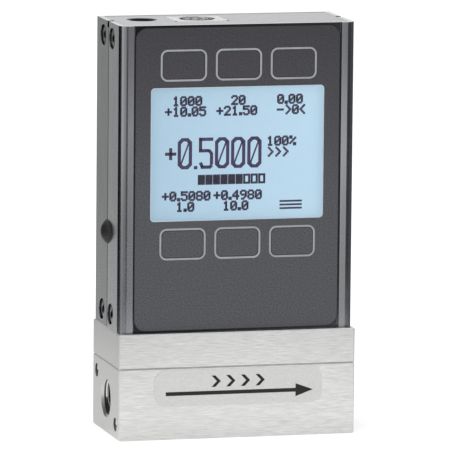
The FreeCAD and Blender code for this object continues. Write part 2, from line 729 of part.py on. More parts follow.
def lcd_layer(front, back):
    x, z = lcd_ranges(LCD_LAYER_MARGIN - LCD_GAP)
    return box(x, (front, back), z)


def lcd_glass():
    front = LCD_FRONT + LCD_LIP
    return lcd_layer(front, front + LCD_GLASS_THICK)


def lcd_backlight():
    return lcd_layer(LCD_FRONT + LCD_LIP + LCD_GLASS_THICK, DISPLAY_BOARD_Y)


def key_switch(x, z):
    """Body of one tactile switch, with the chamber that its plunger moves in."""
    half = SWITCH_SIZE / 2
    front = DISPLAY_BOARD_Y - SWITCH_HEIGHT
    chamber_front = front + SWITCH_LID
    body = box((x - half, x + half), (front, DISPLAY_BOARD_Y), (z - half, z + half))
    back = chamber_front + CHAMBER_DEPTH
    chamber = bar(FLANGE_RADIUS + STEM_CLEARANCE, (x, chamber_front, z), (x, back, z), SMALL_SIDES)
    mouth = bar(PLUNGER_RADIUS + STEM_CLEARANCE, (x, front, z), (x, chamber_front, z), SMALL_SIDES)
    return body.cut([chamber, mouth])


def key_plunger(x, z):
    """Plunger of one switch: a stem behind the film and a flange under the switch's lid."""
    tip = FLOOR_Y + PLUNGER_GAP
    flange_front = DISPLAY_BOARD_Y - SWITCH_HEIGHT + SWITCH_LID + PLUNGER_GAP
    flange_back = flange_front + FLANGE_THICK
    stem = bar(PLUNGER_RADIUS, (x, tip, z), (x, flange_front, z), SMALL_SIDES)
    flange = bar(FLANGE_RADIUS, (x, flange_front, z), (x, flange_back, z), SMALL_SIDES)
    return stem.fuse(flange)


def post(radius, start, end):
    """Six-sided spacer between a wall and a board, with the screw's tapped hole in its end."""
    spacer = bar(radius, start, end, SMALL_SIDES)
    way = (V(*start) - V(*end)).normalize()
    return spacer.cut(bar(SMALL_SCREW_RADIUS, end, V(*end) + way * POST_HOLE_DEPTH, SMALL_SIDES))


def board_screw(head_face, direction, length):
    """Cheese-head screw through a board, with its head's seat at head_face."""
    way = V(*direction)
    seat = V(*head_face)
    head = bar(SMALL_HEAD_RADIUS, seat - way * SMALL_HEAD_HEIGHT, seat, SMALL_SIDES)
    shank = bar(SMALL_SCREW_RADIUS, seat, seat + way * length, SMALL_SIDES)
    return head.fuse(shank)


def board(x, y, z, holes, way):
    """Circuit board between ranges on each axis, with its screw holes along one axis."""
    sheet = box(x, y, z)
    through = V(*way) * max(DISPLAY_BOARD_THICK, BOARD_THICK)
    return sheet.cut([bar(SMALL_SCREW_RADIUS, place, V(*place) + through, SMALL_SIDES) for place in holes])


def display_board():
    back = DISPLAY_BOARD_Y + DISPLAY_BOARD_THICK
    x = (-DISPLAY_BOARD_HALF, DISPLAY_BOARD_HALF)
    holes = [(x, DISPLAY_BOARD_Y, z) for x, z in DISPLAY_POSTS]
    return board(x, (DISPLAY_BOARD_Y, back), (DISPLAY_BOARD_LOW, DISPLAY_BOARD_HIGH), holes, ALONG_Y)


def display_board_posts():
    posts = []
    for x, z in DISPLAY_POSTS:
        posts.append(post(DISPLAY_POST_RADIUS, (x, INNER_FRONT, z), (x, DISPLAY_BOARD_Y, z)))
    return Part.makeCompound(posts)


def display_board_screws():
    back = DISPLAY_BOARD_Y + DISPLAY_BOARD_THICK
    length = DISPLAY_BOARD_THICK + POST_HOLE_DEPTH
    return Part.makeCompound([board_screw((x, back, z), -ALONG_Y, length) for x, z in DISPLAY_POSTS])


def main_board():
    back = MAIN_BOARD_Y + BOARD_THICK
    holes = [(x, MAIN_BOARD_Y, z) for x, z in MAIN_POSTS]
    x = (-MAIN_BOARD_HALF, MAIN_BOARD_HALF)
    return board(x, (MAIN_BOARD_Y, back), (MAIN_BOARD_LOW, MAIN_BOARD_HIGH), holes, ALONG_Y)


def main_board_posts():
    back = MAIN_BOARD_Y + BOARD_THICK
    posts = [post(MAIN_POST_RADIUS, (x, INNER_BACK, z), (x, back, z)) for x, z in MAIN_POSTS]
    return Part.makeCompound(posts)


def main_board_screws():
    length = BOARD_THICK + POST_HOLE_DEPTH
    return Part.makeCompound([board_screw((x, MAIN_BOARD_Y, z), ALONG_Y, length) for x, z in MAIN_POSTS])


def sensor_board():
    top = SENSOR_BOARD_Z + DISPLAY_BOARD_THICK
    holes = [(x, y, SENSOR_BOARD_Z) for x, y in SENSOR_POSTS]
    x = (-SENSOR_BOARD_HALF, SENSOR_BOARD_HALF)
    return board(x, SENSOR_BOARD_Y, (SENSOR_BOARD_Z, top), holes, ALONG_Z)


def sensor_board_posts():
    posts = []
    for x, y in SENSOR_POSTS:
        posts.append(post(SENSOR_POST_RADIUS, (x, y, TONGUE_TOP), (x, y, SENSOR_BOARD_Z)))
    return Part.makeCompound(posts)


def sensor_board_screws():
    top = SENSOR_BOARD_Z + DISPLAY_BOARD_THICK
    length = DISPLAY_BOARD_THICK + POST_HOLE_DEPTH
    return Part.makeCompound([board_screw((x, y, top), -ALONG_Z, length) for x, y in SENSOR_POSTS])


def sensor_port_places():
    return (-SENSOR_PORT_X, SENSOR_PORT_X, -TAP_X)


def sensor_seals():
    top = TONGUE_TOP + SENSOR_SEAL_THICK
    return Part.makeCompound([seal_ring(x, TONGUE_TOP, top) for x in sensor_port_places()])


def sensor_body(x, half_y):
    """Pressure sensor on its seals, with a port under it for each pressure tap that it covers."""
    low = TONGUE_TOP + SENSOR_SEAL_THICK
    body = box(x, (-half_y, half_y), (low, low + SENSOR_HEIGHT))
    covered = [place for place in sensor_port_places() if x[0] < place < x[1]]
    return body.cut([bar(TAP_RADIUS, (p, 0, low), (p, 0, low + SENSOR_PORT_DEPTH)) for p in covered])


def temperature_probe():
    seat = V(PROBE_X, 0, TONGUE_TOP)
    stem = bar(PROBE_RADIUS, (PROBE_X, 0, PORT_Z - PROBE_TIP), seat)
    return stem.fuse(bar(PROBE_HEAD_RADIUS, seat, seat + ALONG_Z * PROBE_HEAD_HEIGHT))


def board_connector():
    """Stacking connector between the display board and the main board."""
    front = DISPLAY_BOARD_Y + DISPLAY_BOARD_THICK
    return box(CONNECTOR_X, (front, MAIN_BOARD_Y), CONNECTOR_Z)


def microcontroller():
    return box(CONTROLLER_X, (MAIN_BOARD_Y - CONTROLLER_THICK, MAIN_BOARD_Y), CONTROLLER_Z)


def board_chips():
    """Small chips on the main board."""
    chips = []
    for x, z, width, height, thick in (CONVERTER, MEMORY, LINE_DRIVER, REGULATOR):
        chips.append(box((x, x + width), (MAIN_BOARD_Y - thick, MAIN_BOARD_Y), (z, z + height)))
    return Part.makeCompound(chips)


def board_capacitors():
    cans = []
    for x, z in CAPACITOR_PLACES:
        front = (x, MAIN_BOARD_Y - CAPACITOR_HEIGHT, z)
        cans.append(bar(CAPACITOR_RADIUS, front, (x, MAIN_BOARD_Y, z), HEAD_SIDES))
    return Part.makeCompound(cans)


def flow_label():
    back = -HALF_DEPTH
    y = (back - LABEL_THICK, back)
    return rounded_sheet((LABEL_LEFT, LABEL_RIGHT), y, (LABEL_LOW, LABEL_HIGH), LABEL_CORNER)


def differential_pressure_sensor():
    return sensor_body(DIFFERENTIAL_X, DIFFERENTIAL_HALF)


def absolute_pressure_sensor():
    return sensor_body(ABSOLUTE_X, ABSOLUTE_HALF)


PIECES = (
    flow_body, flow_element_sleeve, flow_element_plates, element_retaining_rings, element_seals,
    manifold_block, tap_seals, block_screws, temperature_probe, differential_pressure_sensor,
    absolute_pressure_sensor, sensor_seals, sensor_board, sensor_board_posts, sensor_board_screws,
    front_shell, rear_shell, shell_screws, side_plug, top_cap, din_shell, din_insulator, din_contacts,
    power_jack_body, power_jack_pin, power_jack_spring, keypad_overlay, display_window, lcd_frame,
    lcd_glass, lcd_backlight, display_board, display_board_posts, display_board_screws, main_board,
    main_board_posts, main_board_screws, board_connector, microcontroller, board_chips,
    board_capacitors, flow_label,
)


def main():
    os.makedirs("parts", exist_ok=True)
    shapes = {piece.__name__: piece() for piece in PIECES}
    for number, (x, z) in enumerate(key_places(), 1):
        shapes[f"key_switch_{number}"] = key_switch(x, z)
        shapes[f"key_plunger_{number}"] = key_plunger(x, z)
    for name, shape in shapes.items():
        shape.exportStep(f"parts/{name}.step")
    return shapes


if __name__ == "__main__":
    main()
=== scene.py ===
import json
import math
import bpy
from mathutils import Matrix, Vector

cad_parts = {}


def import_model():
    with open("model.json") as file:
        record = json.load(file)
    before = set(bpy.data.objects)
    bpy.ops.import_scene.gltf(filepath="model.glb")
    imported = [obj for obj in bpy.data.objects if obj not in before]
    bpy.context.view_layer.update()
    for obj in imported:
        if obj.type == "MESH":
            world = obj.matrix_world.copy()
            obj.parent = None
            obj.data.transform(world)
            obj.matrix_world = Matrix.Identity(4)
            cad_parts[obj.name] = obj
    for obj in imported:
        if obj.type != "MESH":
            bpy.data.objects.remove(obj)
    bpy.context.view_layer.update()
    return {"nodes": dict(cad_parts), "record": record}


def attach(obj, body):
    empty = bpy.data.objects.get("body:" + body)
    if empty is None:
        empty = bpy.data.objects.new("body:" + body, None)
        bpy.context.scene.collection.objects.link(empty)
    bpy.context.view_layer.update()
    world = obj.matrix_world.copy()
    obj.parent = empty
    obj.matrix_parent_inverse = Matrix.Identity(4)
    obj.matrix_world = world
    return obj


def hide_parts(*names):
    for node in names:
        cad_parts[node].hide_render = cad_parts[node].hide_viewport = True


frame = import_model()

# Everything below is in millimetres, in the frame of the CAD model
MM = 0.001
BODY = "meter"
SIDES = (-1, 1)

HALF_WIDTH = 30.5
HOUSING_HALF = 30.25
TOP = 104.1
PORT_Z = 9.0
LABEL_FRONT = -14.07
LCD_FACE = -9.9
FILM_FRONT = -12.0
FILM_HALF = 26.4
FILM_LOW = 27.3
FILM_HIGH = 103.6
FILM_CORNER = 3.0
# The housing's recess under the film
RECESS_HALF = 26.72
RECESS_FLOOR = -11.5
# Half the depth over which seams and holes in the housing's sides are shaded, and the shading's top
SHADED_HALF = 11.0
SHADED_TOP = TOP - 0.6
# Less than this far under a face still counts as the face
SKIN = 0.04
# How far print stands proud of what carries it, and how far it goes in
PRINT_LIFT = 0.03
PRINT_SINK = 0.01
# The two screw rows of each side: y and z of the screws
SCREW_PLACES_Y = (-3.0, 6.1)
SCREW_PLACES_Z = (30.6, 100.1)
# Out from the middle to the sockets of the side screws, where their shade begins
SOCKET_SHADE = 29.78


def linear(level):
    """Linear value of a 0 to 255 screen level."""
    value = level / 255
    return value / 12.92 if value <= 0.04045 else ((value + 0.055) / 1.055) ** 2.4


def color(red, green, blue):
    return (linear(red), linear(green), linear(blue), 1.0)


# Materials

# The middle of a noise, which holds most of its values
NOISE_SPAN = (0.3, 0.7)


class Surface:
    """One procedural material, with short calls for the nodes that it needs."""

    def __init__(self, name, base, metallic=0.0, roughness=0.5, specular=0.5):
        self.material = bpy.data.materials.new(name)
        self.material.use_nodes = True
        self.nodes = self.material.node_tree.nodes
        self.links = self.material.node_tree.links
        self.shader = self.nodes["Principled BSDF"]
        self.base = base
        self.shader.inputs["Base Color"].default_value = base
        self.shader.inputs["Metallic"].default_value = metallic
        self.shader.inputs["Roughness"].default_value = roughness
        self.shader.inputs["Specular IOR Level"].default_value = specular
        self.material.diffuse_color = base
        self.place = self.nodes.new("ShaderNodeTexCoord")

    def noise(self, scale, detail=3.0, roughness=0.6):
        """Noise in object space. The scale is in cells per millimetre along x, y and z."""
        mapping = self.nodes.new("ShaderNodeMapping")
        mapping.inputs["Scale"].default_value = tuple(value / MM for value in scale)
        self.links.new(self.place.outputs["Object"], mapping.inputs["Vector"])
        texture = self.nodes.new("ShaderNodeTexNoise")
        texture.inputs["Scale"].default_value = 1.0
        texture.inputs["Detail"].default_value = detail
        texture.inputs["Roughness"].default_value = roughness
        self.links.new(mapping.outputs["Vector"], texture.inputs["Vector"])
        return texture.outputs["Fac"]

    def ramp(self, source, stops):
        """Colour ramp through pairs of place and colour."""
        node = self.nodes.new("ShaderNodeValToRGB")
        elements = node.color_ramp.elements
        while len(elements) < len(stops):
            elements.new(0.5)
        for element, (place, value) in zip(elements, stops):
            element.position = place
            element.color = value
        self.links.new(source, node.inputs["Fac"])
        return node.outputs["Color"]

    def spread_between(self, source, span, result):
        """Maps a span of values to a pair of results."""
        node = self.nodes.new("ShaderNodeMapRange")
        node.inputs["From Min"].default_value, node.inputs["From Max"].default_value = span
        node.inputs["To Min"].default_value, node.inputs["To Max"].default_value = result
        self.links.new(source, node.inputs["Value"])
        return node.outputs["Result"]

    def spread(self, source, low, high):
        """Maps the middle of a noise to a range."""
        return self.spread_between(source, NOISE_SPAN, (low, high))

    def shades(self, source, low, high):
        """Base colour that runs between two multiples of itself."""
        start, end = NOISE_SPAN
        return self.ramp(source, [(start, scaled(self.base, low)), (end, scaled(self.base, high))])

    def tint(self, source, low, high):
        self.paint(self.shades(source, low, high))

    def paint(self, output):
        self.links.new(output, self.shader.inputs["Base Color"])

    def rough(self, source, low, high):
        self.links.new(self.spread(source, low, high), self.shader.inputs["Roughness"])

    def math(self, operation, first, second):
        """Math node on two values, each an output or a number."""
        node = self.nodes.new("ShaderNodeMath")
        node.operation = operation
        for socket, value in zip(node.inputs, (first, second)):
            if isinstance(value, (int, float)):
                socket.default_value = value
            else:
                self.links.new(value, socket)
        return node.outputs["Value"]

    def axis(self, letter):
        """Place along one axis, in metres."""
        split = self.nodes.new("ShaderNodeSeparateXYZ")
        self.links.new(self.place.outputs["Object"], split.inputs["Vector"])
        return split.outputs[letter]

    def below(self, letter, limit, fold=False):
        """1 where the place along an axis, or its size, is under a limit in millimetres."""
        value = self.axis(letter)
        if fold:
            value = self.math("ABSOLUTE", value, 0.0)
        return self.math("LESS_THAN", value, limit * MM)

    def above(self, letter, limit):
        return self.math("GREATER_THAN", self.axis(letter), limit * MM)

    def in_bore(self, y, z, radius):
        """1 inside two bores along X, one on either side of y = 0, but not on the body's ends."""
        aside = self.math("SUBTRACT", self.math("ABSOLUTE", self.axis("Y"), 0.0), y * MM)
        up = self.math("SUBTRACT", self.axis("Z"), z * MM)
        square = self.math("ADD", self.math("MULTIPLY", aside, aside), self.math("MULTIPLY", up, up))
        near = self.math("LESS_THAN", square, (radius * MM) ** 2)
        return self.math("MULTIPLY", near, self.below("X", HALF_WIDTH - SKIN, fold=True))

    def slope(self, letter, start, end):
        """0 to 1 between two places in millimetres along an axis."""
        return self.spread_between(self.axis(letter), (start * MM, end * MM), (0.0, 1.0))

    def mix(self, factor, first, second):
        """Mix of two colours, each an output or a colour."""
        node = self.nodes.new("ShaderNodeMix")
        node.data_type = "RGBA"
        self.links.new(factor, node.inputs["Factor"])
        for socket, value in ((node.inputs["A"], first), (node.inputs["B"], second)):
            if isinstance(value, tuple):
                socket.default_value = value
            else:
                self.links.new(value, socket)
        return node.outputs["Result"]

    def multiply(self, first, second):
        node = self.nodes.new("ShaderNodeVectorMath")
        node.operation = "MULTIPLY"
        self.links.new(first, node.inputs[0])
        self.links.new(second, node.inputs[1])
        return node.outputs["Vector"]

    def bump(self, source, height, strength):
        """Relief of a height in millimetres."""
        node = self.nodes.new("ShaderNodeBump")
        node.inputs["Strength"].default_value = strength
        node.inputs["Distance"].default_value = height * MM
        self.links.new(source, node.inputs["Height"])
        self.links.new(node.outputs["Normal"], self.shader.inputs["Normal"])


def scaled(base, factor):
    return tuple(min(1.0, channel * factor) for channel in base[:3]) + (1.0,)


# Cells of noise per millimetre, across streaks and along them
FINE_STREAKS = (5.0, 0.12)
BROAD_STREAKS = (5.0, 0.3)


def streaks_along(axis, cells):
    """Noise scale of streaks that run along one axis, given by its number."""
    scale = [cells[0]] * 3
    scale[axis] = cells[1]
    return scale


def brushed_steel(name, base, along, roughness=0.34, bores=()):
    """Ground or plated metal with streaks along one axis, and painted shade in bores along X.

    Each bore is given by the size of its y, its z, a radius and the share of the base colour painted
    there as shade.
    """
    surface = Surface(name, base, metallic=1.0, roughness=roughness)
    streaks = surface.noise(streaks_along(along, FINE_STREAKS), detail=4.0, roughness=0.7)
    cloud = surface.noise(streaks_along(along, BROAD_STREAKS), detail=5.0, roughness=0.75)
    face = surface.shades(cloud, 0.77, 1.17)
    # Painted shade inside each bore
    for y, z, radius, shade in bores:
        face = surface.mix(surface.in_bore(y, z, radius), face, scaled(base, shade))
    surface.paint(face)
    surface.rough(streaks, roughness - 0.08, roughness + 0.12)
    surface.bump(streaks, 0.012, 0.6)
    return surface


def moulded(name, base, roughness, grain=4.0, depth=0.01, metallic=0.0):
    """Moulded, cast or printed surface with a fine grain."""
    surface = Surface(name, base, metallic=metallic, roughness=roughness, specular=0.4)
    cells = surface.noise((grain, grain, grain), detail=2.0)
    surface.tint(surface.noise((0.25, 0.25, 0.25), detail=3.0), 0.88, 1.12)
    surface.rough(cells, roughness - 0.08, roughness + 0.08)
    surface.bump(cells, depth, 0.5)
    return surface


def anodised(name, base, roughness):
    """Clear anodised plate with faint draw lines along X."""
    surface = Surface(name, base, metallic=0.85, roughness=roughness, specular=0.5)
    lines = surface.noise((0.1, 3.0, 3.0), detail=3.0, roughness=0.65)
    surface.tint(lines, 0.94, 1.06)
    surface.rough(surface.noise((0.6, 0.6, 0.2), detail=3.0), roughness - 0.05, roughness + 0.07)
    surface.bump(lines, 0.004, 0.4)
    return surface


def extrusion(name, base, recess, ends, roughness):
    """Dyed extrusion with draw lines along Z, and painted shade on the floor of its recess under the
    film.

    Its cut ends are bare metal, and the seams and holes in its sides are in shade. The painted shade on
    the recess floor is lighter towards the right.
    """
    surface = Surface(name, base, metallic=0.95, roughness=roughness)
    lines = surface.noise((1.2, 1.2, 0.012), detail=3.0, roughness=0.6)
    body = surface.shades(lines, 0.95, 1.05)
    # Painted shade on the recess floor under the film, lighter towards the right
    under_film = surface.math("MULTIPLY", surface.below("X", RECESS_HALF, fold=True),
                              surface.below("Y", RECESS_FLOOR))
    across = surface.slope("X", -RECESS_HALF, RECESS_HALF)
    recess_floor = surface.ramp(across, [(0.3, recess), (1.0, scaled(recess, 2.2))])
    sunk = surface.mix(under_film, body, recess_floor)
    within = surface.math("MULTIPLY", surface.below("X", HOUSING_HALF - SKIN, fold=True),
                          surface.math("MULTIPLY", surface.below("Y", SHADED_HALF, fold=True),
                                       surface.below("Z", SHADED_TOP)))
    shaded = surface.mix(within, sunk, scaled(base, 0.22))
    bare = surface.above("Z", TOP - SKIN)
    surface.paint(surface.mix(bare, shaded, ends))
    surface.rough(surface.noise((0.5, 0.5, 0.1), detail=3.0), roughness - 0.02, roughness + 0.03)
    surface.bump(lines, 0.004, 0.15)
    return surface


def screw_finish(name, base, hollow):
    """Polished head of a side screw with its socket and shank in shade."""
    surface = Surface(name, base, metallic=0.95, roughness=0.2)
    cells = surface.noise((3.0, 3.0, 3.0), detail=2.0)
    head = surface.shades(cells, 0.92, 1.08)
    surface.paint(surface.mix(surface.below("X", SOCKET_SHADE, fold=True), head, hollow))
    surface.rough(cells, 0.28, 0.36)
    surface.bump(cells, 0.003, 0.3)
    return surface


# Height at which the painted light on the film reaches its lightest grey
FILM_FADE_END = 62.0


def printed_film(name):
    """Textured polycarbonate film printed dark grey, with painted light that makes it lighter towards
    its foot.
    """
    surface = Surface(name, color(72, 71, 77), roughness=0.5, specular=0.35)
    grain = surface.noise((3.0, 3.0, 3.0), detail=3.0, roughness=0.6)
    speckle = surface.ramp(grain, [(0.34, (0.62, 0.62, 0.62, 1.0)), (0.66, (1.38, 1.38, 1.38, 1.0))])
    # Painted light: the grey gets lighter from the film's top down to FILM_FADE_END
    greys = [(0.0, color(63, 62, 67)), (1.0, color(84, 85, 90))]
    field = surface.ramp(surface.slope("Z", FILM_HIGH, FILM_FADE_END), greys)
    surface.paint(surface.multiply(field, speckle))
    surface.rough(grain, 0.42, 0.58)
    surface.bump(surface.noise((4.5, 4.5, 4.5), detail=2.0, roughness=0.7), 0.02, 0.5)
    return surface


def label_film(name):
    """Frosted clear label over the ground steel."""
    surface = Surface(name, color(219, 219, 218), metallic=0.55, roughness=0.55, specular=0.4)
    mottle = surface.noise((1.4, 1.4, 2.2), detail=4.0, roughness=0.7)
    surface.tint(mottle, 0.93, 1.06)
    surface.bump(surface.noise((4.0, 4.0, 4.0), detail=1.0), 0.008, 0.4)
    return surface


# Half the width over which the display's glow changes
GLOW_HALF = 24.0


def backlit(name):
    """Reflective blue field of the display, lit from behind, lighter towards the right."""
    surface = Surface(name, color(112, 130, 143), roughness=0.4, specular=0.3)
    blues = [(0.0, color(171, 204, 226)), (1.0, color(198, 231, 252))]
    glow = surface.ramp(surface.slope("X", -GLOW_HALF, GLOW_HALF), blues)
    surface.links.new(glow, surface.shader.inputs["Emission Color"])
    surface.shader.inputs["Emission Strength"].default_value = 0.66
    surface.rough(surface.noise((1.5, 1.5, 1.5), detail=2.0), 0.36, 0.44)
    return surface


def clear(name):
    """Acrylic lens that hardly shows over the display."""
    surface = Surface(name, color(225, 235, 240), roughness=0.08, specular=0.4)
    haze = surface.noise((0.4, 0.4, 0.4), detail=2.0)
    surface.links.new(surface.spread(haze, 0.015, 0.03), surface.shader.inputs["Alpha"])
    surface.rough(haze, 0.05, 0.12)
    return surface


def circuit_board(name):
    """Green solder mask with slightly raised tracks."""
    surface = Surface(name, color(24, 82, 48), roughness=0.35, specular=0.5)
    tracks = surface.noise((0.8, 0.8, 0.8), detail=0.0)
    surface.paint(surface.ramp(tracks, [(0.49, color(20, 74, 42)), (0.52, color(34, 104, 62))]))
    surface.bump(tracks, 0.02, 0.3)
    return surface


# The small holes in the ends lie on a circle round the port
END_HOLE_REACH = 11.3
END_HOLE_ANGLE = math.radians(28)
END_HOLE_ASIDE = END_HOLE_REACH * math.cos(END_HOLE_ANGLE)
END_HOLE_UP = END_HOLE_REACH * math.sin(END_HOLE_ANGLE)
# Size of y, z, radius and painted shade of the bores in the ends
BORE_SHADES = (
    (0.0, PORT_Z, 4.5, 0.12),
    (END_HOLE_ASIDE, PORT_Z + END_HOLE_UP, 1.8, 0.4),
    (END_HOLE_ASIDE, PORT_Z - END_HOLE_UP, 1.8, 0.4),
)

GROUND = color(214, 214, 213)
STEEL = brushed_steel("ground_stainless", GROUND, 0)
STEEL_BORE_SHADE = brushed_steel("stainless_bore_shade", GROUND, 0, bores=BORE_SHADES)
STEEL_CUT = brushed_steel("machined_thread", color(224, 223, 220), 1, roughness=0.14)
# Painted shade of the recess floor under the film
RECESS_SHADE = color(46, 45, 49)
CUT_END = color(180, 181, 182)
HOUSING = extrusion("dark_anodised", color(150, 152, 156), RECESS_SHADE, CUT_END, 0.19)
# The rear shell's darker copy of the housing's finish is painted shade
HOUSING_SHADED = extrusion("dark_anodised_painted_shade", color(116, 118, 118), RECESS_SHADE, CUT_END, 0.19)
RIM = moulded("eased_edge", color(150, 152, 154), roughness=0.14, grain=3.0, depth=0.002,
              metallic=0.95)
CAP = anodised("clear_anodised", color(183, 184, 186), roughness=0.42)
FILM = printed_film("printed_film")
LABEL = label_film("frosted_label")
INK = moulded("black_ink", color(20, 18, 20), roughness=0.5, grain=6.0, depth=0.003)
LINE = moulded("light_grey_print", color(168, 172, 176), roughness=0.5, grain=6.0, depth=0.003)
# Painted shade of the line inside each key's outline
LINE_SHADE = moulded("key_outline_painted_shade", color(52, 51, 56), roughness=0.55, grain=6.0, depth=0.003)
SEGMENT = moulded("display_segment", color(52, 30, 84), roughness=0.5, grain=6.0, depth=0.002)
BLUE = backlit("display_blue")
LENS = clear("clear_lens")
# Painted highlight on the lens's edge
LENS_EDGE_HIGHLIGHT = moulded("lens_edge_painted_highlight", color(196, 214, 228), roughness=0.4, grain=4.0, depth=0.002)
GUIDE = moulded("light_guide", color(240, 244, 248), roughness=0.4)
SCREW_HEAD = screw_finish("side_screw_finish", color(162, 164, 166), color(14, 14, 15))
BLACK_STEEL = moulded("black_oxide", color(40, 40, 42), roughness=0.32, grain=5.0, depth=0.006,
                      metallic=0.8)
RUBBER = moulded("black_rubber", color(34, 34, 35), roughness=0.5, grain=5.0, depth=0.01)
PLASTIC = moulded("black_plastic", color(26, 26, 27), roughness=0.45, grain=5.0, depth=0.008)
NICKEL = brushed_steel("nickel_plate", color(206, 206, 207), 2, roughness=0.24)
# Lighter copy of the nickel: painted light on the socket's lip and contact rims
NICKEL_LIT = brushed_steel("nickel_painted_light", color(224, 224, 226), 2, roughness=0.3)
BRASS = moulded("brass", color(196, 164, 96), roughness=0.3, grain=5.0, depth=0.004, metallic=1.0)
SPRING = brushed_steel("spring_steel", color(170, 170, 170), 0, roughness=0.3)
BOARD = circuit_board("solder_mask")
CHIP = moulded("chip_resin", color(34, 34, 36), roughness=0.6, grain=6.0, depth=0.006)
CAN = moulded("capacitor_can", color(188, 189, 192), roughness=0.3, grain=5.0, depth=0.004, metallic=1.0)

# The finish of each material slot
FINISHES = {
    "stainless": STEEL,
    "black_anodised": HOUSING,
    "clear_anodised": CAP,
    "black_steel": BLACK_STEEL,
    "black_rubber": RUBBER,
    "printed_film": FILM,
    "label_film": LABEL,
    "clear_lens": LENS,
    "display_blue": BLUE,
    "light_guide": GUIDE,
    "spring_steel": SPRING,
    "nickel": NICKEL,
    "brass": BRASS,
    "black_plastic": PLASTIC,
    "plunger_plastic": PLASTIC,
    "circuit_board": BOARD,
    "chip": CHIP,
    "capacitor_can": CAN,
}
# Nodes given darker copies of their slot's finish as painted shade: the rear shell all over, and the
# flow body in its bores
OWN_FINISHES = {"rear_shell": HOUSING_SHADED, "flow_body": STEEL_BORE_SHADE}


def dress_nodes():
    """Gives every CAD node the finish of its slot."""
    for entry in frame["record"]["subparts"]:
        name = entry["node"]
        node = frame["nodes"][name]
        finish = OWN_FINISHES.get(name, FINISHES[entry["material_slot"]]).material
        for place in node.material_slots:
            place.material = finish


# Meshes

def mesh_object(name, points, faces, surface):
    """Mesh in the scene, its points given in millimetres."""
    mesh = bpy.data.meshes.new(name)
    mesh.from_pydata([Vector(point) * MM for point in points], [], faces)
    mesh.materials.append(surface.material)
    made = bpy.data.objects.new(name, mesh)
    bpy.context.scene.collection.objects.link(made)
    return made


def piece(name, points, faces, surface, smooth):
    """One piece of the meter. Edges under the angle smooth, in degrees, are shaded smooth."""
    part = mesh_object(name, points, faces, surface)
    part.data.update()
    part.data.shade_smooth()
    part.data.set_sharp_from_angle(angle=math.radians(smooth))
    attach(part, BODY)
    return part


class Build:
    """Points and faces of one piece, gathered from several shapes."""

    def __init__(self):
        self.points = []
        self.faces = []

    def add(self, points, faces):
        start = len(self.points)
        self.points.extend(points)
        self.faces.extend([tuple(start + i for i in face) for face in faces])

    def rings(self, loops, closed=True, cap_start=False, cap_end=False):
        """Skin over loops of the same number of points."""
        count = len(loops[0])
        points = [point for loop in loops for point in loop]
        faces = []
        for level in range(len(loops) - 1):
            low = level * count
            high = low + count
            for i in range(count if closed else count - 1):
                j = (i + 1) % count
                faces.append((low + i, low + j, high + j, high + i))
        if cap_start:
            faces.append(tuple(reversed(range(count))))
        if cap_end:
            faces.append(tuple(range((len(loops) - 1) * count, len(loops) * count)))
        self.add(points, faces)

    def slab(self, outline, place):
        """Solid of an x, z outline between two y places given as front and back."""
        front, back = place
        self.rings([[(x, back, z) for x, z in outline], [(x, front, z) for x, z in outline]],
                   cap_start=True, cap_end=True)

    def make(self, name, surface, smooth=35):
        return piece(name, self.points, self.faces, surface, smooth)


def round_outline(centre, half_x, half_z, radius, steps=8):
    """Rectangle with round corners, as x, z pairs."""
    x, z = centre
    corners = ((1, 1, 0), (-1, 1, 90), (-1, -1, 180), (1, -1, 270))
    outline = []
    for sign_x, sign_z, start in corners:
        for step in range(steps + 1):
            angle = math.radians(start + 90 * step / steps)
            outline.append((x + sign_x * (half_x - radius) + radius * math.cos(angle),
                            z + sign_z * (half_z - radius) + radius * math.sin(angle)))
    return outline


def basis(way):
    """Two directions across a way, and the way itself."""
    way = Vector(way).normalized()
    across = way.orthogonal().normalized()
    return across, way.cross(across), way


# Sides of a round shape
ROUND_SIDES = 48


def circle(centre, way, radius, depth, count=ROUND_SIDES, shape=None):
    """Loop of points round an axis. A shape changes the radius with the angle."""
    across, up, way = basis(way)
    loop = []
    for step in range(count):
        angle = 2 * math.pi * step / count
        reach = shape(angle, radius) if shape else radius
        loop.append(tuple(Vector(centre) + way * depth + across * (reach * math.cos(angle))
                          + up * (reach * math.sin(angle))))
    return loop


def hexagon(angle, radius):
    """Distance from the centre to the side of a hexagon whose flats are at the radius."""
    turn = (angle + math.pi / 6) % (math.pi / 3) - math.pi / 6
    return radius / math.cos(turn)


def lathe(build, centre, way, profile, count=ROUND_SIDES, caps=False):
    """Turned shape through pairs of radius and depth along the way."""
    loops = [circle(centre, way, radius, depth, count) for radius, depth in profile]
    build.rings(loops, cap_start=caps, cap_end=caps)


# Keypad

KEY_PITCH = 14.15
KEY_ROWS = (94.05, 49.15)
KEY_HALF = (5.93, 3.98)
KEY_CORNER = 1.8
KEY_LINE = 0.46
KEY_MIDDLE = 0.2
# Width and height over the film of the painted shade line inside each key's outline
KEY_SHADE_LINE = 0.22
KEY_SHADE_LIFT = PRINT_LIFT * 0.6
# The film's black cut edge, with the shade of the gap round the film painted on it as a black band: its
# width, and how far it stands out and reaches back
EDGE_LINE = 0.2
EDGE_OUT = 0.02
EDGE_LIFT = 0.01
EDGE_BACK = 0.24


def frame_loop(build, centre, half, corner, width, front, back):
    """Thin raised outline of a rounded rectangle."""
    outer = round_outline(centre, half[0], half[1], corner)
    inner = round_outline(centre, half[0] - width, half[1] - width, max(corner - width, 0.3))
    build.rings([
        [(x, back, z) for x, z in outer],
        [(x, front, z) for x, z in outer],
        [(x, front, z) for x, z in inner],
        [(x, back, z) for x, z in inner],
    ])


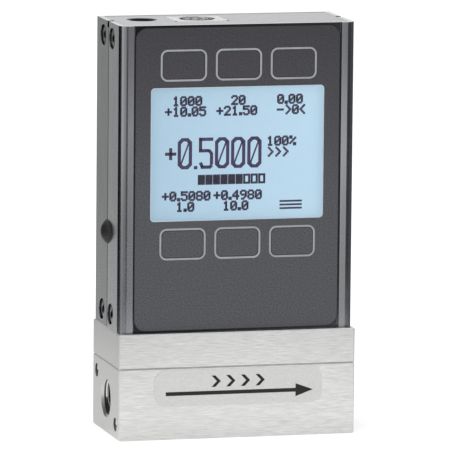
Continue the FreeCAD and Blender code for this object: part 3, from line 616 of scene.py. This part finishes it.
def key_outlines():
    """Printed outlines of the six keys with a painted shade line inside each, and the film's black cut
    edge with painted gap shade.
    """
    light = Build()
    dark = Build()
    for z in KEY_ROWS:
        for column in (-1, 0, 1):
            centre = (KEY_MIDDLE + column * KEY_PITCH, z)
            frame_loop(light, centre, KEY_HALF, KEY_CORNER, KEY_LINE,
                       FILM_FRONT - PRINT_LIFT, FILM_FRONT + PRINT_SINK)
            inner = (KEY_HALF[0] - KEY_LINE, KEY_HALF[1] - KEY_LINE)
            # Painted shade line inside the key's outline
            frame_loop(dark, centre, inner, KEY_CORNER - KEY_LINE, KEY_SHADE_LINE,
                       FILM_FRONT - KEY_SHADE_LIFT, FILM_FRONT + PRINT_SINK)
    # Black band round the film: its cut edge, and painted shade of the gap beside it
    edge = Build()
    middle = (0, (FILM_LOW + FILM_HIGH) / 2)
    half = (FILM_HALF + EDGE_OUT, (FILM_HIGH - FILM_LOW) / 2 + EDGE_OUT)
    frame_loop(edge, middle, half, FILM_CORNER, EDGE_LINE,
               FILM_FRONT - EDGE_LIFT, FILM_FRONT + EDGE_BACK)
    edge.make("film_edge_and_gap_shade", INK)
    light.make("key_outlines", LINE)
    dark.make("key_outline_shades", LINE_SHADE)


# Display

# Pitch of the dots, and how far each spreads past its own cell
DOT_WIDE = 0.325
DOT_HIGH = 0.335
DOT_SPREAD = 0.11
# Dots from one character to the next, and from a point to the next character
CELL_WIDE = 6
POINT_WIDE = 3
# Dot patterns, row by row from the top. The last two are full and empty steps of a bar graph
GLYPHS = {
    "0": ".###. #...# #..## #.#.# ##..# #...# .###.",
    "1": "..#.. .##.. ..#.. ..#.. ..#.. ..#.. .###.",
    "2": ".###. #...# ....# ...#. ..#.. .#... #####",
    "4": "...#. ..##. .#.#. #..#. ##### ...#. ...#.",
    "5": "##### #.... ####. ....# ....# #...# .###.",
    "8": ".###. #...# #...# .###. #...# #...# .###.",
    "9": ".###. #...# #...# .#### ....# ...#. .##..",
    "+": "..... ..#.. ..#.. ##### ..#.. ..#.. .....",
    "-": "..... ..... ..... ##### ..... ..... .....",
    ".": "..... ..... ..... ..... ..... ##... ##...",
    "%": "##... ##..# ...#. ..#.. .#... #..## ...##",
    ">": ".#... ..#.. ...#. ....# ...#. ..#.. .#...",
    "<": "...#. ..#.. .#... #.... .#... ..#.. ...#.",
    "#": "##### ##### ##### ##### ##### ##### #####",
    "_": "##### #...# #...# #...# #...# #...# #####",
}
SEGMENT_FRONT = LCD_FACE - PRINT_LIFT
SEGMENT_BACK = LCD_FACE + PRINT_SINK
# Characters, left edge and top of each small row
SMALL_ROWS = (
    ("1000", -16.2, 86.0), ("20", -1.1, 86.0), ("0.00", 10.8, 86.0),
    ("+10.05", -18.1, 83.35), ("+21.50", -4.9, 83.35), ("->0<", 10.75, 83.35),
    ("100%", 8.2, 75.5), (">>>", 8.2, 72.75),
    ("######___", -9.5, 66.1),
    ("+0.5080", -18.75, 62.1), ("+0.4980", -5.45, 62.1),
    ("1.0", -15.1, 59.4), ("10.0", -3.05, 59.4),
)
# Edge of the lens in the opening of the film, coloured light as a painted highlight
RIM_CENTRE = (0.0, 71.7)
RIM_HALF = (22.33, 16.78)
RIM_CORNER = 1.0
RIM_WIDTH = 0.24
RIM_DEPTH = (FILM_FRONT + 0.005, FILM_FRONT + 0.2)
# Three bars that stand for the menu
MENU_SPAN = (11.6, 17.4)
MENU_BARS = (59.05, 58.15, 57.25)
MENU_BAR = 0.48
# The large figures: their top, size, stroke and cut corners, and the left edge of each
BIG_TOP = 75.55
BIG_HEIGHT = 7.85
BIG_BOTTOM = BIG_TOP - BIG_HEIGHT
BIG_WIDTH = 3.7
BIG_STROKE = 0.84
BIG_CORNER = 1.0
BIG_SLASH = 0.42
BIG_ZEROS = (-14.85, -5.25, -1.1, 3.1)
BIG_FIVE = -9.4
# The plus sign before them, with the width of its strokes, and their point
PLUS_CENTRE = (-16.65, 71.6)
PLUS_HALF = (1.45, 1.5)
PLUS_STROKE = 0.8
POINT_SPAN = (-10.65, -9.75)
POINT_Z = 68.05
POINT_STROKE = 0.85


def dots(build, text, left, top):
    """A row of dot-matrix characters from its top left corner. A point is narrower than the rest."""
    start = left
    for character in text:
        for row, line in enumerate(GLYPHS[character].split()):
            column = 0
            while column < len(line):
                run = column
                while run < len(line) and line[run] == "#":
                    run += 1
                if run > column:
                    x = start + column * DOT_WIDE - DOT_SPREAD
                    z = top - row * DOT_HIGH + DOT_SPREAD
                    reach = start + run * DOT_WIDE + DOT_SPREAD
                    foot = top - (row + 1) * DOT_HIGH - DOT_SPREAD
                    outline = [(reach, foot), (reach, z), (x, z), (x, foot)]
                    build.slab(outline, (SEGMENT_FRONT, SEGMENT_BACK))
                column = max(run, column + 1)
        start += (POINT_WIDE if character == "." else CELL_WIDE) * DOT_WIDE


def bar(build, start, end, width):
    """Straight stroke between two x, z points."""
    line = Vector((end[0] - start[0], end[1] - start[1]))
    side = Vector((-line.y, line.x)).normalized() * (width / 2)
    corners = [(start[0] - side.x, start[1] - side.y), (end[0] - side.x, end[1] - side.y),
               (end[0] + side.x, end[1] + side.y), (start[0] + side.x, start[1] + side.y)]
    build.slab(corners, (SEGMENT_FRONT, SEGMENT_BACK))


def big_zero(build, left):
    """Tall digit with cut corners and a slash."""
    right = left + BIG_WIDTH

    def loop(inset, corner):
        x0, x1 = left + inset, right - inset
        z0, z1 = BIG_BOTTOM + inset, BIG_TOP - inset
        return [(x1, z0 + corner), (x1, z1 - corner), (x1 - corner, z1), (x0 + corner, z1),
                (x0, z1 - corner), (x0, z0 + corner), (x0 + corner, z0), (x1 - corner, z0)]

    outer = loop(0, BIG_CORNER)
    inner = loop(BIG_STROKE, BIG_CORNER - BIG_STROKE * 0.4)
    build.rings([
        [(x, SEGMENT_BACK, z) for x, z in outer],
        [(x, SEGMENT_FRONT, z) for x, z in outer],
        [(x, SEGMENT_FRONT, z) for x, z in inner],
        [(x, SEGMENT_BACK, z) for x, z in inner],
    ])
    inset = BIG_STROKE * 0.9
    bar(build, (left + inset, BIG_BOTTOM + BIG_CORNER), (right - inset, BIG_TOP - BIG_CORNER), BIG_SLASH)


def big_five(build, left):
    """Tall digit of straight strokes, from its top round to its tail."""
    right = left + BIG_WIDTH
    half = BIG_STROKE / 2
    top = BIG_TOP - half
    foot = BIG_BOTTOM + half
    middle = BIG_TOP - BIG_HEIGHT * 0.42
    turn = right - BIG_CORNER
    strokes = (
        ((left, top), (right, top)),
        ((left + half, BIG_TOP), (left + half, middle)),
        ((left, middle), (turn, middle)),
        ((turn - 0.1, middle + 0.15), (right - half + 0.1, middle - 0.9)),
        ((right - half, middle - 0.7), (right - half, BIG_BOTTOM + BIG_CORNER)),
        ((right - half + 0.1, BIG_BOTTOM + 0.9), (turn - 0.1, BIG_BOTTOM + 0.2)),
        ((left + 0.5, foot), (turn, foot)),
        ((left + half, BIG_BOTTOM + 1.6), (left + half + 0.5, foot)),
    )
    for start, end in strokes:
        bar(build, start, end, BIG_STROKE)


def display():
    """Generic readings on the display, and the edge of its lens with a painted highlight."""
    marks = Build()
    for text, left, top in SMALL_ROWS:
        dots(marks, text, left, top)
    x, z = PLUS_CENTRE
    bar(marks, (x - PLUS_HALF[0], z), (x + PLUS_HALF[0], z), PLUS_STROKE)
    bar(marks, (x, z - PLUS_HALF[1]), (x, z + PLUS_HALF[1]), PLUS_STROKE)
    bar(marks, (POINT_SPAN[0], POINT_Z), (POINT_SPAN[1], POINT_Z), POINT_STROKE)
    big_five(marks, BIG_FIVE)
    for left in BIG_ZEROS:
        big_zero(marks, left)
    for z in MENU_BARS:
        bar(marks, (MENU_SPAN[0], z), (MENU_SPAN[1], z), MENU_BAR)
    marks.make("display_characters", SEGMENT)
    # The lens's edge, coloured light as a painted highlight
    rim = Build()
    frame_loop(rim, RIM_CENTRE, RIM_HALF, RIM_CORNER, RIM_WIDTH, *RIM_DEPTH)
    rim.make("display_rim", LENS_EDGE_HIGHLIGHT)


# Flow label

ARROW_Z = 11.65
ARROW_TAIL = -18.5
ARROW_NECK = 15.13
ARROW_TIP = 19.63
SHAFT_HALF = 0.48
HEAD_HALF = 1.65
CHEVRON_LEFTS = (-6.7, -2.9, 0.9, 4.7)
CHEVRON_LOW = 13.1
CHEVRON_HIGH = 16.0
CHEVRON_WIDTH = 1.0
CHEVRON_LEAN = 1.4


def arrow():
    """Printed arrow of the label, with four chevrons over it."""
    ink = Build()
    place = (LABEL_FRONT - PRINT_LIFT, LABEL_FRONT + PRINT_SINK)
    top, bottom = ARROW_Z + SHAFT_HALF, ARROW_Z - SHAFT_HALF
    outline = [(ARROW_TIP, ARROW_Z), (ARROW_NECK, ARROW_Z + HEAD_HALF), (ARROW_NECK, top),
               (ARROW_TAIL, top), (ARROW_TAIL, bottom), (ARROW_NECK, bottom),
               (ARROW_NECK, ARROW_Z - HEAD_HALF)]
    ink.slab(outline, place)
    middle = (CHEVRON_LOW + CHEVRON_HIGH) / 2
    for left in CHEVRON_LEFTS:
        right = left + CHEVRON_WIDTH
        chevron = [(right + CHEVRON_LEAN, middle), (right, CHEVRON_HIGH), (left, CHEVRON_HIGH),
                   (left + CHEVRON_LEAN, middle), (left, CHEVRON_LOW), (right, CHEVRON_LOW)]
        ink.slab(chevron, place)
    ink.make("flow_arrow", INK)


# Threads

# Wall radius, crest radius, pitch, length and taper of each kind of thread
PORT_THREAD = (4.35, 3.95, 0.94, 9.0, 0.03)
END_HOLE_THREAD = (1.725, 1.45, 0.79, 7.0, 0.0)
BASE_HOLE_THREAD = (1.725, 1.5, 0.79, 2.4, 0.0)
# How far under the face each thread begins
PORT_THREAD_START = 0.85
END_HOLE_THREAD_START = 0.4
BASE_HOLE_THREAD_START = 0.7
BASE_HOLE_X = 22.86
# Steps in a turn, steps over which the ridge rises at its start and sinks at its end, and the share
# of its height that is left there
TURN_STEPS = 48
FADE_STEPS = 24
FADE_REST = 0.02
# How far the ridge's foot is sunk in the wall, and its half widths in pitches
FOOT_SINK = 0.08
FOOT_HALF = 0.46
CREST_HALF = 0.06


def thread(name, centre, way, sizes):
    """Helical ridge on the wall of a round hole, from its mouth inwards."""
    wall, crest, pitch, length, taper = sizes
    across, up, way = basis(way)
    build = Build()
    loops = []
    last = length / pitch * TURN_STEPS
    for step in range(int(last) + 1):
        angle = 2 * math.pi * step / TURN_STEPS
        depth = -pitch * step / TURN_STEPS
        out = across * math.cos(angle) + up * math.sin(angle)
        fade = min(1.0, step / FADE_STEPS, (last - step) / FADE_STEPS + FADE_REST)
        top = wall + taper * depth + (crest - wall) * fade
        foot = wall + FOOT_SINK
        section = ((foot, FOOT_HALF), (top, CREST_HALF), (top, -CREST_HALF), (foot, -FOOT_HALF))
        loops.append([tuple(Vector(centre) + way * (depth + shift * pitch) + out * radius)
                      for radius, shift in section])
    build.rings(loops, closed=False)
    build.make(name, STEEL_CUT, smooth=40)


def threads():
    """Threads of the ports, of the small holes beside them and of the holes in the base."""
    for side, name, hand in ((-1, "inlet_thread", "left"), (1, "outlet_thread", "right")):
        way = (side, 0, 0)
        port_x = side * (HALF_WIDTH - PORT_THREAD_START)
        hole_x = side * (HALF_WIDTH - END_HOLE_THREAD_START)
        thread(name, (port_x, 0, PORT_Z), way, PORT_THREAD)
        for upper, label in ((1, "upper"), (-1, "lower")):
            y = -side * upper * END_HOLE_ASIDE
            z = PORT_Z + upper * END_HOLE_UP
            thread(f"{name}_{label}_hole", (hole_x, y, z), way, END_HOLE_THREAD)
        base_mouth = (side * BASE_HOLE_X, 0, BASE_HOLE_THREAD_START)
        thread(f"base_hole_thread_{hand}", base_mouth, (0, 0, -1), BASE_HOLE_THREAD)


# Side screws and plug

# Pairs of radius and height: the eased rim of a screw recess, over the housing's side
RIM_PROFILE = ((2.66, -0.02), (2.68, 0.03), (2.75, 0.07), (2.85, 0.05), (2.94, -0.02))
RIM_SIDES = 40
# The same of a screw, over its seat: its shank, its head and the hexagon socket down to its floor
SCREW_SEAT = HOUSING_HALF - 1.1
SHANK_PROFILE = ((1.4, -3.6), (1.4, 0.0))
HEAD_PROFILE = ((2.3, 0.0), (2.3, 0.5), (2.24, 0.65), (2.08, 0.75))
SOCKET_PROFILE = ((1.12, 0.75), (1.0, 0.66), (1.0, 0.12))
SOCKET_TIP = (0.05, -0.1)


def side_screws():
    """Low-head screws with hexagon sockets, sunk in the sides, and the eased rims of their recesses."""
    build = Build()
    rims = Build()
    for side in SIDES:
        way = (side, 0, 0)
        for y in SCREW_PLACES_Y:
            for z in SCREW_PLACES_Z:
                seat = (side * SCREW_SEAT, y, z)
                loops = [circle(seat, way, *pair) for pair in SHANK_PROFILE + HEAD_PROFILE]
                loops += [circle(seat, way, *pair, shape=hexagon) for pair in SOCKET_PROFILE]
                loops.append(circle(seat, way, *SOCKET_TIP))
                build.rings(loops, cap_start=True, cap_end=True)
                mouth = (side * HOUSING_HALF, y, z)
                lathe(rims, mouth, way, RIM_PROFILE, count=RIM_SIDES)
    screws = build.make("side_screws", SCREW_HEAD)
    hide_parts("shell_screws")
    rims.make("screw_recess_rims", RIM, smooth=60)


PLUG_CENTRE = (-HOUSING_HALF, 0.4, 51.1)
PLUG_RADIUS = 3.15
PLUG_HEIGHT = 1.7
PLUG_STEPS = 10
# Pairs of radius and height of the plug's stem, from its end in the housing to the dome's edge
STEM_PROFILE = ((0.1, -2.3), (2.4, -2.3), (2.6, -1.5), (2.45, -1.5), (2.45, 0.0), (PLUG_RADIUS, 0.0))


def plug():
    """Snap-in plug over the seam, with a round dome."""
    build = Build()
    profile = list(STEM_PROFILE)
    sphere = (PLUG_RADIUS ** 2 + PLUG_HEIGHT ** 2) / (2 * PLUG_HEIGHT)
    for step in range(1, PLUG_STEPS):
        angle = math.asin(PLUG_RADIUS / sphere) * (1 - step / PLUG_STEPS)
        height = PLUG_HEIGHT - sphere + sphere * math.cos(angle)
        profile.append((sphere * math.sin(angle), height))
    lathe(build, PLUG_CENTRE, (-1, 0, 0), profile, caps=True)
    part = build.make("side_plug_dome", RUBBER, smooth=50)
    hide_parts("side_plug")


# Data socket

DIN_CENTRE = (-7.1, 2.5)
# Inner and outer radius of the lip, its foot and top, and half the angle of its slit in degrees
DIN_LIP = (4.3, 4.72)
DIN_LIP_HEIGHTS = (103.6, 104.02)
DIN_SLIT = 9
# Radii, foot and top of a contact's rim
DIN_RIM = (0.5, 0.62)
DIN_RIM_HEIGHTS = (103.9, 104.05)
DIN_RIM_SIDES = 20
# The contacts in rows, from the socket's centre: y of the row and x of each
DIN_HOLES = ((2.0, (-1.9, 0.0, 1.9)), (0.2, (-2.4, 0.0, 2.4)), (-1.7, (-1.0, 1.0)))
# Bevel along the top edges of both
DIN_BEVEL = 0.03


def arc_ring(build, centre, radii, heights, angles, steps):
    """Bevelled ring or part of one round a vertical axis."""
    inner, outer = radii
    low, high = heights
    loops = []
    for step in range(steps + 1):
        angle = math.radians(angles[0] + (angles[1] - angles[0]) * step / steps)
        x, y = math.cos(angle), math.sin(angle)
        section = ((inner, low), (inner, high - DIN_BEVEL), (inner + DIN_BEVEL, high),
                   (outer - DIN_BEVEL, high), (outer, high - DIN_BEVEL), (outer, low))
        loops.append([(centre[0] + x * radius, centre[1] + y * radius, z) for radius, z in section])
    build.rings(loops, closed=False)


def data_socket():
    """Shield lip and contact rims of the socket in the top, in a lighter copy of the nickel as painted
    light.
    """
    lip = Build()
    arc_ring(lip, DIN_CENTRE, DIN_LIP, DIN_LIP_HEIGHTS, (DIN_SLIT, 360 - DIN_SLIT), ROUND_SIDES)
    lip.make("data_socket_lip", NICKEL_LIT)
    rims = Build()
    for y, places in DIN_HOLES:
        for x in places:
            centre = (DIN_CENTRE[0] + x, DIN_CENTRE[1] + y)
            arc_ring(rims, centre, DIN_RIM, DIN_RIM_HEIGHTS, (0, 360), DIN_RIM_SIDES)
    rims.make("data_socket_contact_rims", NICKEL_LIT)


# Camera, lights and stage

# Place and directions of the camera, and its focal length in the photo's pixels
CAMERA_PLACE = (-382.014, -1454.805, 267.934)
CAMERA_RIGHT = (0.967477, -0.252802, 0.008920)
CAMERA_DOWN = (-0.027400, -0.139783, -0.989803)
CAMERA_FORWARD = (0.251471, 0.957367, -0.142164)
CAMERA_FOCAL = 6029.516
PHOTO_WIDTH = 450
SENSOR = 36.0


def camera():
    """Camera at the photo's place."""
    data = bpy.data.cameras.new("camera")
    data.sensor_width = SENSOR
    data.lens = CAMERA_FOCAL / PHOTO_WIDTH * SENSOR
    data.clip_start = 0.05
    data.clip_end = 20
    eye = bpy.data.objects.new("camera", data)
    bpy.context.scene.collection.objects.link(eye)
    right, down, forward = Vector(CAMERA_RIGHT), Vector(CAMERA_DOWN), Vector(CAMERA_FORWARD)
    turn = Matrix((right, -down, -forward)).transposed().to_4x4()
    eye.matrix_world = Matrix.Translation(Vector(CAMERA_PLACE) * MM) @ turn
    bpy.context.scene.camera = eye


def area_light(name, place, size, power):
    """Soft lamp aimed at the meter's middle."""
    data = bpy.data.lights.new(name, "AREA")
    data.shape = "RECTANGLE"
    data.size, data.size_y = size[0] * MM, size[1] * MM
    data.energy = power
    lamp = bpy.data.objects.new(name, data)
    bpy.context.scene.collection.objects.link(lamp)
    lamp.location = Vector(place) * MM
    aim = Vector(METER_MIDDLE) - Vector(place)
    lamp.rotation_mode = "QUATERNION"
    lamp.rotation_quaternion = aim.to_track_quat("-Z", "Y")


def larger(nodes, links, first, second):
    """The larger of two outputs."""
    node = nodes.new("ShaderNodeMath")
    node.operation = "MAXIMUM"
    links.new(first, node.inputs[0])
    links.new(second, node.inputs[1])
    return node.outputs["Value"]


def background(nodes, strength):
    """White background of a strength."""
    node = nodes.new("ShaderNodeBackground")
    node.inputs["Color"].default_value = (1.0, 1.0, 1.0, 1.0)
    node.inputs["Strength"].default_value = strength
    return node.outputs["Background"]


# Strength of the world's light. What is seen of it, also in gloss and through glass, is white
FILL = 0.6


def world():
    """White surroundings that light the meter less than they show."""
    room = bpy.data.worlds.new("studio")
    bpy.context.scene.world = room
    room.use_nodes = True
    nodes, links = room.node_tree.nodes, room.node_tree.links
    nodes.clear()
    path = nodes.new("ShaderNodeLightPath").outputs
    seen = larger(nodes, links, path["Is Camera Ray"], path["Is Glossy Ray"])
    seen = larger(nodes, links, seen, path["Is Transmission Ray"])
    mix = nodes.new("ShaderNodeMixShader")
    out = nodes.new("ShaderNodeOutputWorld")
    links.new(seen, mix.inputs["Fac"])
    links.new(background(nodes, FILL), mix.inputs[1])
    links.new(background(nodes, 1.0), mix.inputs[2])
    links.new(mix.outputs["Shader"], out.inputs["Surface"])


FLOOR_HALF = 3000
# What the floor adds where the camera sees it
FLOOR_GLOW = 0.5
# What it adds in gloss, in front of the meter and behind it, with the places where that changes
FLOOR_GLOSS = (0.76, 0.2)
FLOOR_GLOSS_SPAN = (-40, 10)


def floor():
    """Pale floor, lifted to white where nothing shades it."""
    surface = Surface("studio_floor", (0.86, 0.86, 0.86, 1.0), roughness=0.9, specular=0.0)
    surface.tint(surface.noise((0.01, 0.01, 0.01)), 0.99, 1.01)
    surface.shader.inputs["Emission Color"].default_value = (1.0, 1.0, 1.0, 1.0)
    path = surface.nodes.new("ShaderNodeLightPath").outputs
    direct = surface.math("MAXIMUM", path["Is Camera Ray"], path["Is Transmission Ray"])
    start, end = FLOOR_GLOSS_SPAN
    sheen = surface.spread_between(surface.axis("Y"), (start * MM, end * MM), FLOOR_GLOSS)
    lift = surface.math("ADD", surface.math("MULTIPLY", direct, FLOOR_GLOW),
                        surface.math("MULTIPLY", path["Is Glossy Ray"], sheen))
    surface.links.new(lift, surface.shader.inputs["Emission Strength"])
    corners = [(-FLOOR_HALF, -FLOOR_HALF, 0), (FLOOR_HALF, -FLOOR_HALF, 0),
               (FLOOR_HALF, FLOOR_HALF, 0), (-FLOOR_HALF, FLOOR_HALF, 0)]
    ground = mesh_object("floor", corners, [(0, 1, 2, 3)], surface)


METER_MIDDLE = (0, 0, 55)
# Name, place, width and height, and power of each lamp
LAMPS = (
    ("key", (-500, -700, 700), (900, 900), 2.6),
    ("front", (500, -1100, 250), (900, 900), 2.0),
    ("back", (-400, 700, 500), (900, 600), 1.6),
)


def lights():
    """The three soft lamps of the studio."""
    for lamp in LAMPS:
        area_light(*lamp)


# Distance from the middle and height of the cards, and the flat strips in each
CARD_REACH = 170
CARD_HEIGHT = 170
CARD_STRIPS = 8
# Share of a card's level at heights in millimetres
FRONT_PROFILE = ((8, 0.46), (25, 0.56), (40, 0.66), (57, 1.0), (66, 0.7), (76, 0.4))
LEFT_PROFILE = ((8, 0.44), (39, 0.58), (57, 1.0), (75, 0.86))
EVEN_PROFILE = ((0, 0.95), (170, 1.0))
BACK_PROFILE = ((10, 1.0), (40, 0.8))
# Name, azimuths, level and profile of each card
CARDS = (
    ("card_behind_camera", (-15, 1), 0.1, EVEN_PROFILE),
    ("card_front", (1, 13), 1.05, FRONT_PROFILE),
    ("card_front_right", (13, 29), 1.3, FRONT_PROFILE),
    ("card_right", (29, 64), 0.04, EVEN_PROFILE),
    ("card_far_right", (64, 150), 0.14, EVEN_PROFILE),
    ("card_front_left", (-26, -14), 0.5, LEFT_PROFILE),
    ("card_left", (-52, -26), 0.75, LEFT_PROFILE),
    ("card_far_left", (-81, -52), 1.1, LEFT_PROFILE),
    ("card_rear_left", (-149, -81), 0.01, EVEN_PROFILE),
    ("card_back", (-176, -149), 0.68, BACK_PROFILE),
)


def gloss_card(name, azimuths, level, profile):
    """Upright curved card round the meter that shows only in its gloss.

    Azimuths are in degrees from the front, positive towards the right.
    """
    surface = Surface(name, color(10, 10, 10), roughness=0.9, specular=0.0)
    stops = [(height / CARD_HEIGHT, scaled((1, 1, 1), share)) for height, share in profile]
    glow = surface.ramp(surface.slope("Z", 0, CARD_HEIGHT), stops)
    surface.links.new(glow, surface.shader.inputs["Emission Color"])
    surface.shader.inputs["Emission Strength"].default_value = level
    build = Build()
    loops = []
    start, end = azimuths
    for step in range(CARD_STRIPS + 1):
        angle = math.radians(start + (end - start) * step / CARD_STRIPS)
        x, y = CARD_REACH * math.sin(angle), -CARD_REACH * math.cos(angle)
        loops.append([(x, y, 0), (x, y, CARD_HEIGHT)])
    build.rings(loops, closed=False)
    card = mesh_object(name, build.points, build.faces, surface)
    card.visible_camera = False
    card.visible_diffuse = False
    card.visible_shadow = False
    card.visible_transmission = False


def cards():
    """Bands of light and dark round the meter, as its polished corners show them."""
    for card in CARDS:
        gloss_card(*card)


dress_nodes()
key_outlines()
display()
arrow()
threads()
side_screws()
plug()
data_socket()
world()
floor()
lights()
cards()
camera()

bpy.context.scene.view_settings.view_transform = "Standard"
